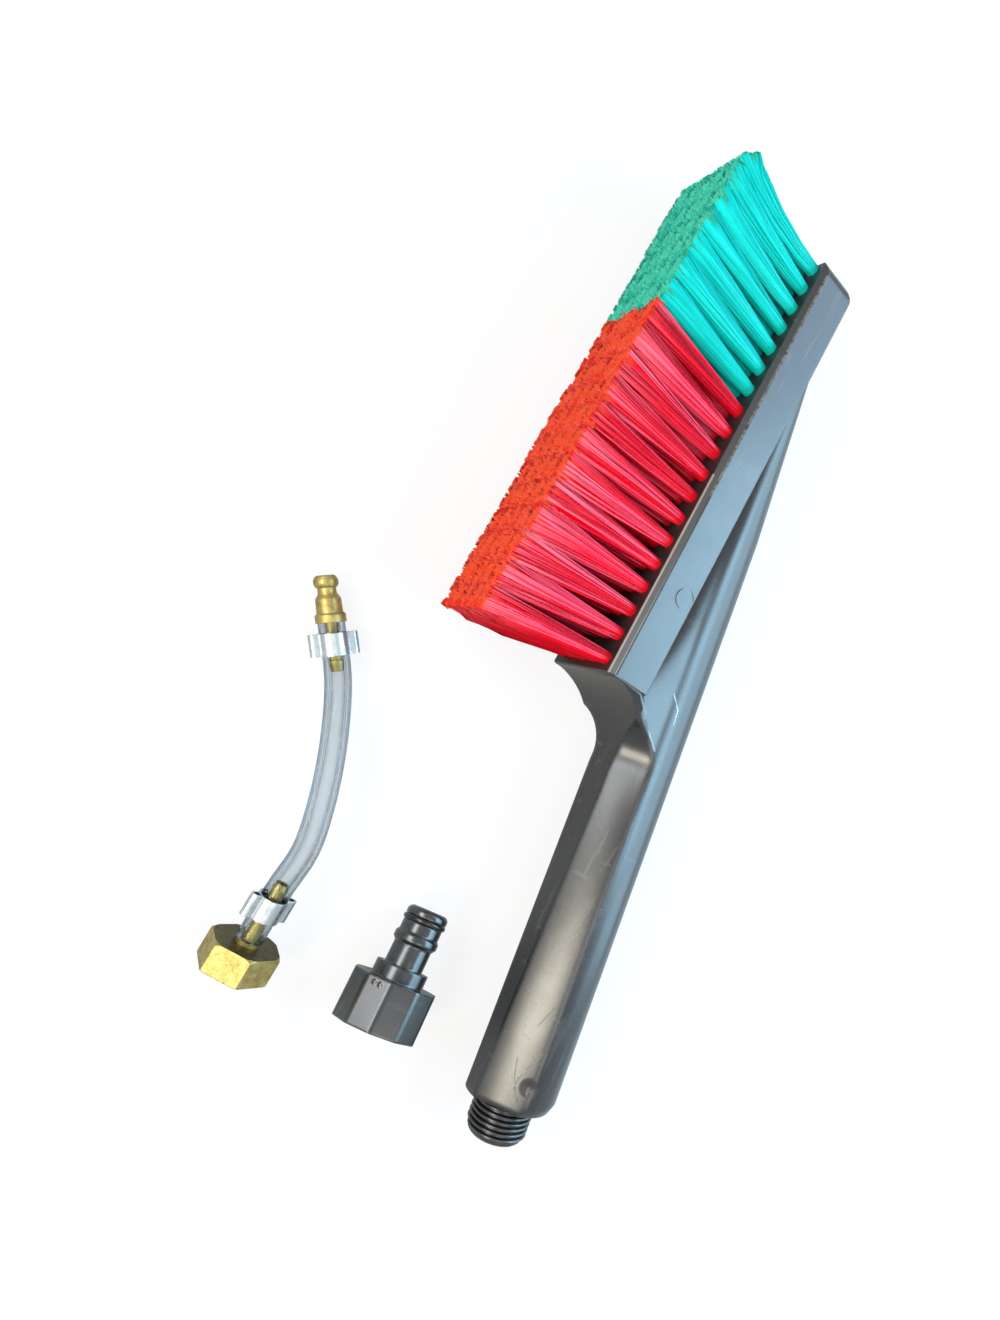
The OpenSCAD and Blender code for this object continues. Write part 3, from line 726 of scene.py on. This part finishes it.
def tubes(lines, tone, radius, along, cut, facing):
    """Three-sided tubes on centre lines (n, rings, 3), lit mostly as the tuft's own surface.

    facing (n, rings, 3) is that surface's normal; along and cut are for the rings. Returns
    vertices, quads, triangles, colours and normals."""
    n, rings, _ = lines.shape
    phase = rng.uniform(0, 2 * math.pi / 3, n)
    offs = np.stack([phase + 2 * math.pi * s / 3 for s in range(3)], 1)
    taper = np.ones(rings)
    taper[-1] = 0.8
    verts = np.repeat(lines[:, :, None, :], 3, axis=2)
    verts[..., 1] += radius * np.cos(offs)[:, None, :] * taper[None, :, None]
    verts[..., 2] += radius * np.sin(offs)[:, None, :] * taper[None, :, None]
    base = (np.arange(n) * rings * 3)[:, None, None]
    ring = (np.arange(rings - 1) * 3)[None, :, None]
    side = np.arange(3)[None, None, :]
    a = base + ring + side
    b = base + ring + (side + 1) % 3
    quads = np.stack([a, a + 3, b + 3, b], -1).reshape(-1, 4)
    caps = base[:, :, 0] + (rings - 1) * 3 + np.array([0, 2, 1])[None]
    colour = np.ones((n, rings, 3, 4))
    colour[..., 0] = tone[:, None, None]
    colour[..., 1] = along[None, :, None]
    colour[..., 2] = cut[None, :, None]
    own = np.stack([np.zeros_like(offs), np.cos(offs), np.sin(offs)], -1)[:, None]
    normal = 0.7 * unit(facing)[:, :, None, :] + 0.5 * own
    normal[:, -1] = 0.25 * normal[:, -1] + np.array([-1.0, 0.0, 0.0])
    return verts.reshape(-1, 3), quads, caps, colour.reshape(-1, 4), unit(normal).reshape(-1, 3)


CORE_SIDES = 24
CORE_RINGS = (-0.01, 0.15, 0.35, 0.55, 0.75, 0.9, 1.0)


def core(k, j):
    """The dense middle of one tuft, a lofted body a little inside its bristles.

    Returns the same as tubes."""
    high = (LENGTH - CORE_LOWER - RISE[k, j]) / LENGTH
    verts, colours = [], []
    wobble = rng.uniform(-0.1, 0.1, (len(CORE_RINGS), CORE_SIDES))
    for i, t in enumerate(CORE_RINGS):
        cy, cz = tuft_centre(k, j, t)
        u = max(t, 0)
        half_y = CORE_ROOT + (CORE_Y - CORE_ROOT) * u
        half_z = CORE_ROOT + (CORE_Z - CORE_ROOT) * u
        power = 1.0 - 0.5 * u
        for side in range(CORE_SIDES):
            a = 2 * math.pi * side / CORE_SIDES
            c, s = math.cos(a), math.sin(a)
            f = 1 + wobble[i, side] * u * (1 - u) * 3
            y = cy + half_y * f * math.copysign(abs(c) ** power, c)
            z = cz + half_z * f * math.copysign(abs(s) ** power, s)
            verts.append((-LENGTH * t * high, y, z))
            # painted shade: the core's sides take a shaded tone deep among the bristles; its cap a
            # middling tone of cut ends
            colours.append((0.16, 0.3, 0.0, 1) if t < 1 else (0.55, 1.0, 1.0, 1))
    last = (len(CORE_RINGS) - 1) * CORE_SIDES
    cy, cz = tuft_centre(k, j, 1.0)
    middle = len(verts)
    verts.append((-LENGTH * high - 0.2, cy, cz))
    colours.append((0.6, 1.0, 1.0, 1))
    pairs = [(side, (side + 1) % CORE_SIDES) for side in range(CORE_SIDES)]
    quads = [
        (ring + a, ring + CORE_SIDES + a, ring + CORE_SIDES + b, ring + b)
        for ring in range(0, last, CORE_SIDES)
        for a, b in pairs
    ]
    tris = [(last + a, middle, last + b) for a, b in pairs]
    v = np.array(verts)
    u = np.clip(-v[:, 0] / LENGTH, 0, 1)
    bend, trim = last_tuft(k, u, v[:, 1])
    v[:, 1] += bend
    v[:, 0] += trim * u
    v[:, 1] = np.clip(v[:, 1], Y_LOW + 0.5, Y_HIGH - 0.5)
    centres = np.array([tuft_centre(k, j, -x / LENGTH) for x in v[:, 0]])
    normal = np.full(v.shape, -1e-4)
    normal[:, 1:] = v[:, 1:] - centres
    normal = unit(normal)
    normal[last:] = (-1.0, 0.0, 0.0)
    return v, np.array(quads), np.array(tris), np.array(colours), normal


def tuft(k, j):
    """The parts of one tuft, each as tubes returns it."""
    edge = j in (0, LAST_ROW) or k in (0, LAST_COL)
    thin = 1
    lines, tone = strands(k, j, (EDGE_STRANDS if edge else INNER_STRANDS) // thin)
    facing = lines.copy()
    facing[..., 0] = 0.0
    facing[..., 1:] -= np.array([tuft_centre(k, j, t) for t in T_RINGS])[None]
    # the outer tufts are lit as one wall
    wall = (0.0, 0.45 * ((k == LAST_COL) - (k == 0)), 0.45 * ((j == LAST_ROW) - (j == 0)))
    along, cut = np.clip(T_RINGS, 0, 1), (T_RINGS > 0.99) * 1.0
    yield tubes(lines, tone, STRAND_RADIUS, along, cut, unit(facing) + wall)
    ends, tone = stubs(k, j, STUBS // thin)
    facing = np.full(ends.shape, -1.0)
    facing[..., 1:] = rng.normal(0, 0.25, (len(ends), 1, 2))
    yield tubes(ends, tone, STUB_RADIUS, np.array([0.95, 1.0]), np.array([1.0, 1.0]), facing)
    yield core(k, j)


def bristle_row(name, node, j, cols, material):
    """The bristles of one colour in one row, as one piece in place of the CAD's cones."""
    parts = [part for k in cols for part in tuft(k, j)]
    starts = np.cumsum([0] + [len(part[0]) for part in parts])
    verts = np.concatenate([part[0] for part in parts])
    quads = np.concatenate([part[1] + start for part, start in zip(parts, starts)])
    tris = np.concatenate([part[2] + start for part, start in zip(parts, starts)])
    place = np.array(BRUSH)
    turn, at = place[:3, :3].T, place[:3, 3]
    corners = np.concatenate([quads.ravel(), tris.ravel()]).astype(np.int32)
    sizes = np.concatenate([np.full(len(quads), 4), np.full(len(tris), 3)])
    firsts = np.concatenate([[0], np.cumsum(sizes)[:-1]]).astype(np.int32)
    mesh = bpy.data.meshes.new(name)
    mesh.vertices.add(len(verts))
    mesh.vertices.foreach_set("co", ((verts * MM) @ turn + at).ravel())
    mesh.loops.add(len(corners))
    mesh.loops.foreach_set("vertex_index", corners)
    mesh.polygons.add(len(sizes))
    mesh.polygons.foreach_set("loop_start", firsts)
    mesh.update(calc_edges=True)
    mesh.validate()
    mesh.shade_smooth()
    mesh.normals_split_custom_set_from_vertices(np.concatenate([part[4] for part in parts]) @ turn)
    colours = mesh.color_attributes.new("fib", "FLOAT_COLOR", "POINT")
    colours.data.foreach_set("color", np.concatenate([part[3] for part in parts]).ravel())
    mesh.materials.append(material)
    obj = add(name, mesh)
    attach(obj, "brush")
    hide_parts(node)
    return obj


for row in range(ROWS):
    for hue, cols, material in (
        ("red", range(RED_COLS), RED),
        ("green", range(RED_COLS, COLS), GREEN),
    ):
        name = f"bristles_{hue}_{row + 1}"
        piece = bristle_row(name, f"tufts_{hue}_row{row + 1}", row, cols, material)


# ---------------------------------------------------------------- thread on the spigot
PITCH, TURNS, THREAD_START = 1.814, 5.75, 1.1
THREAD_ROOT, THREAD_CREST = 9.32, 10.46
SUNK = 0.1  # how deep the ridge's foot goes into the spigot
ROUND = 0.06  # how much lower the crest is at its sides


def helix(name, matrix, material, per_turn=64):
    """A closed ridge that winds right-handed round local z, running out at both ends."""
    steps = int(TURNS * per_turn)
    run_out = per_turn * 0.4
    foot = THREAD_ROOT - SUNK
    verts, faces = [], []
    for i in range(steps + 1):
        a = 2 * math.pi * i / per_turn
        full = min(1.0, i / run_out, (steps - i) / run_out)
        top = THREAD_ROOT + (THREAD_CREST - THREAD_ROOT) * full
        side = top - ROUND
        for r, dz in ((foot, -0.46), (side, -0.117), (top, 0.0), (side, 0.117), (foot, 0.46)):
            z = THREAD_START + PITCH * (i / per_turn + dz)
            verts.append((r * math.cos(a), r * math.sin(a), z))
    for i in range(0, steps * 5, 5):
        for s in range(5):
            p, q = i + s, i + (s + 1) % 5
            faces.append((p, p + 5, q + 5, q))
    faces.append((0, 1, 2, 3, 4))
    faces.append(tuple(steps * 5 + s for s in (4, 3, 2, 1, 0)))
    return new_object(name, verts, faces, matrix, material)


thread = helix("spigot_thread", SPIGOT, FITTING)
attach(thread, "brush")

# ---------------------------------------------------------------- hose
# The route from part.scad: out of the nut, over the surface and onto the plug.
HOSE_OUTER, HOSE_INNER = 3.98, 2.6
IN_NUT = 10.1  # where the hose ends, along the nut's axis
HOSE_START = NUT @ Vector((0, 0, IN_NUT * MM)) / MM
HOSE_END = PLUG.to_translation() / MM
ROUTE = [
    HOSE_START,
    HOSE_START + 9.5 * NUT_AXIS,
    HOSE_START + 19 * NUT_AXIS,
    Vector((-56.4, -101.2, 16)),
    Vector((-58.2, -91.2, 15.5)),
    Vector((-60.9, -80.2, 13.6)),
    Vector((-64.3, -69.7, 11)),
    Vector((-68.1, -59.9, 7.9)),
    HOSE_END - 16.5 * PLUG_AXIS,
    HOSE_END - 8 * PLUG_AXIS,
    HOSE_END,
]


def smooth_route(points, steps):
    """A Catmull-Rom curve through the points, with so many steps between two of them."""
    out = []
    last = len(points) - 1
    for i in range(last):
        p0, p1 = points[max(i - 1, 0)], points[i]
        p2, p3 = points[i + 1], points[min(i + 2, last)]
        for step in range(steps):
            t = step / steps
            line = 2 * p1 + (p2 - p0) * t
            square = (2 * p0 - 5 * p1 + 4 * p2 - p3) * t * t
            cube = (3 * p1 - p0 - 3 * p2 + p3) * t**3
            out.append(0.5 * (line + square + cube))
    out.append(points[-1])
    return out


def tube(name, path, outer, inner, sides, material):
    """A hollow tube swept along points in the row's frame, millimetres."""
    verts, faces = [], []
    last = len(path) - 1
    for radius in (outer, inner):
        for i, p in enumerate(path):
            t = (path[min(i + 1, last)] - path[max(i - 1, 0)]).normalized()
            s = t.cross(Z_AXIS).normalized()
            u = s.cross(t)
            for k in range(sides):
                a = 2 * math.pi * k / sides
                verts.append(p + radius * (math.cos(a) * s + math.sin(a) * u))
    bore = len(path) * sides  # the first vertex of the inner wall
    end = last * sides
    for k in range(sides):
        q = (k + 1) % sides
        for ring in range(0, end, sides):
            a, b = ring + k, ring + q
            faces.append((a, a + sides, b + sides, b))
            faces.append((bore + a, bore + b, bore + b + sides, bore + a + sides))
        faces.append((k, q, bore + q, bore + k))
        faces.append((end + k, bore + end + k, bore + end + q, end + q))
    return new_object(name, verts, faces, Matrix.Identity(4), material)


path = smooth_route(ROUTE, 6)
HELD_FIRST, HELD_LAST = 9, 10  # points held straight in the fittings
for _ in range(14):
    # evens out the bends between them
    before, after = path[HELD_FIRST - 1 : -HELD_LAST - 1], path[HELD_FIRST + 1 : -HELD_LAST + 1]
    here = path[HELD_FIRST:-HELD_LAST]
    free = [(a + 2 * b + c) / 4 for a, b, c in zip(before, here, after)]
    path = path[:HELD_FIRST] + free + path[-HELD_LAST:]
hose = tube("hose", smooth_route(path, 3), HOSE_OUTER, HOSE_INNER, 48, PVC)
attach(hose, "hose")
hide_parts("hose_tube")
hose_length = sum((b - a).length for a, b in zip(path, path[1:])) * MM


# ---------------------------------------------------------------- floor, world and lights
look = Mat("floor")
look.set(Roughness=0.9, Specular_IOR_Level=0.1)
looked_at = look.node("ShaderNodeLightPath").outputs["Is Camera Ray"]
look.drive(Base_Color=look.mix(looked_at, (0.62,) * 3, (0.95,) * 3))
white = look.node("ShaderNodeEmission", Strength=1.0)
look.blend(look.seen(0.85, 0.15, 0.6), look.bsdf, white, look.nodes["Material Output"])
HALF_FLOOR = 3000
corners = [(HALF_FLOOR * x, HALF_FLOOR * y, 0) for x, y in ((-1, -1), (1, -1), (1, 1), (-1, 1))]
floor = new_object("floor", corners, [(0, 1, 2, 3)], Matrix.Identity(4), look.mat, smooth=False)

world = bpy.data.worlds.new("studio")
bpy.context.scene.world = world
world.use_nodes = True
around = Tree(world.node_tree)
faint = around.nodes["Background"]
around.feed(faint.inputs["Color"], (0.9, 0.95, 1.0))
around.feed(faint.inputs["Strength"], 0.11)
plain = around.node("ShaderNodeBackground", Color=(1, 1, 1, 1), Strength=1.0)
around.blend(around.seen(1.0, 0.75, 1.0), faint, plain, around.nodes["World Output"])

SET_MIDDLE = (0, 0.02, 0.02)
SKY = (0.45, 0.77, 1.0)
# Name, azimuth and elevation in degrees, distance and size in metres, watts and colour.
for name, azimuth, elevation, far, size, power, colour in (
    ("sky", 17, 47, 0.85, (0.62, 0.26), 5.1, SKY),
    ("low_sky", 18, 29, 0.85, (0.95, 0.27), 4.0, SKY),
    ("horizon", 18, 11, 0.85, (0.95, 0.26), 2.9, SKY),
    ("far_sky", 60, 36, 0.85, (0.44, 0.32), 1.8, (0.46, 0.72, 1.0)),
    ("warm", -136, 38, 0.85, (0.2, 0.3), 2.9, (1.0, 0.94, 0.78)),
    ("left", 179, 36, 0.85, (0.5, 0.3), 4.2, (0.96, 0.98, 1.0)),
    ("over", -80, 68, 1.0, (0.52, 0.46), 2.3, (0.97, 0.98, 1.0)),
):
    a, e = math.radians(azimuth), math.radians(elevation)
    offset = (math.cos(e) * math.cos(a), math.cos(e) * math.sin(a), math.sin(e))
    data = bpy.data.lights.new(name, "AREA")
    data.shape = "RECTANGLE"
    data.size, data.size_y = size
    data.energy = power
    data.color = colour
    lamp = add(name, data)
    lamp.location = [middle + far * step for middle, step in zip(SET_MIDDLE, offset)]
    aim = Vector(SET_MIDDLE) - lamp.location
    lamp.rotation_euler = aim.to_track_quat("-Z", "Y").to_euler()

bpy.context.scene.view_settings.view_transform = "Standard"
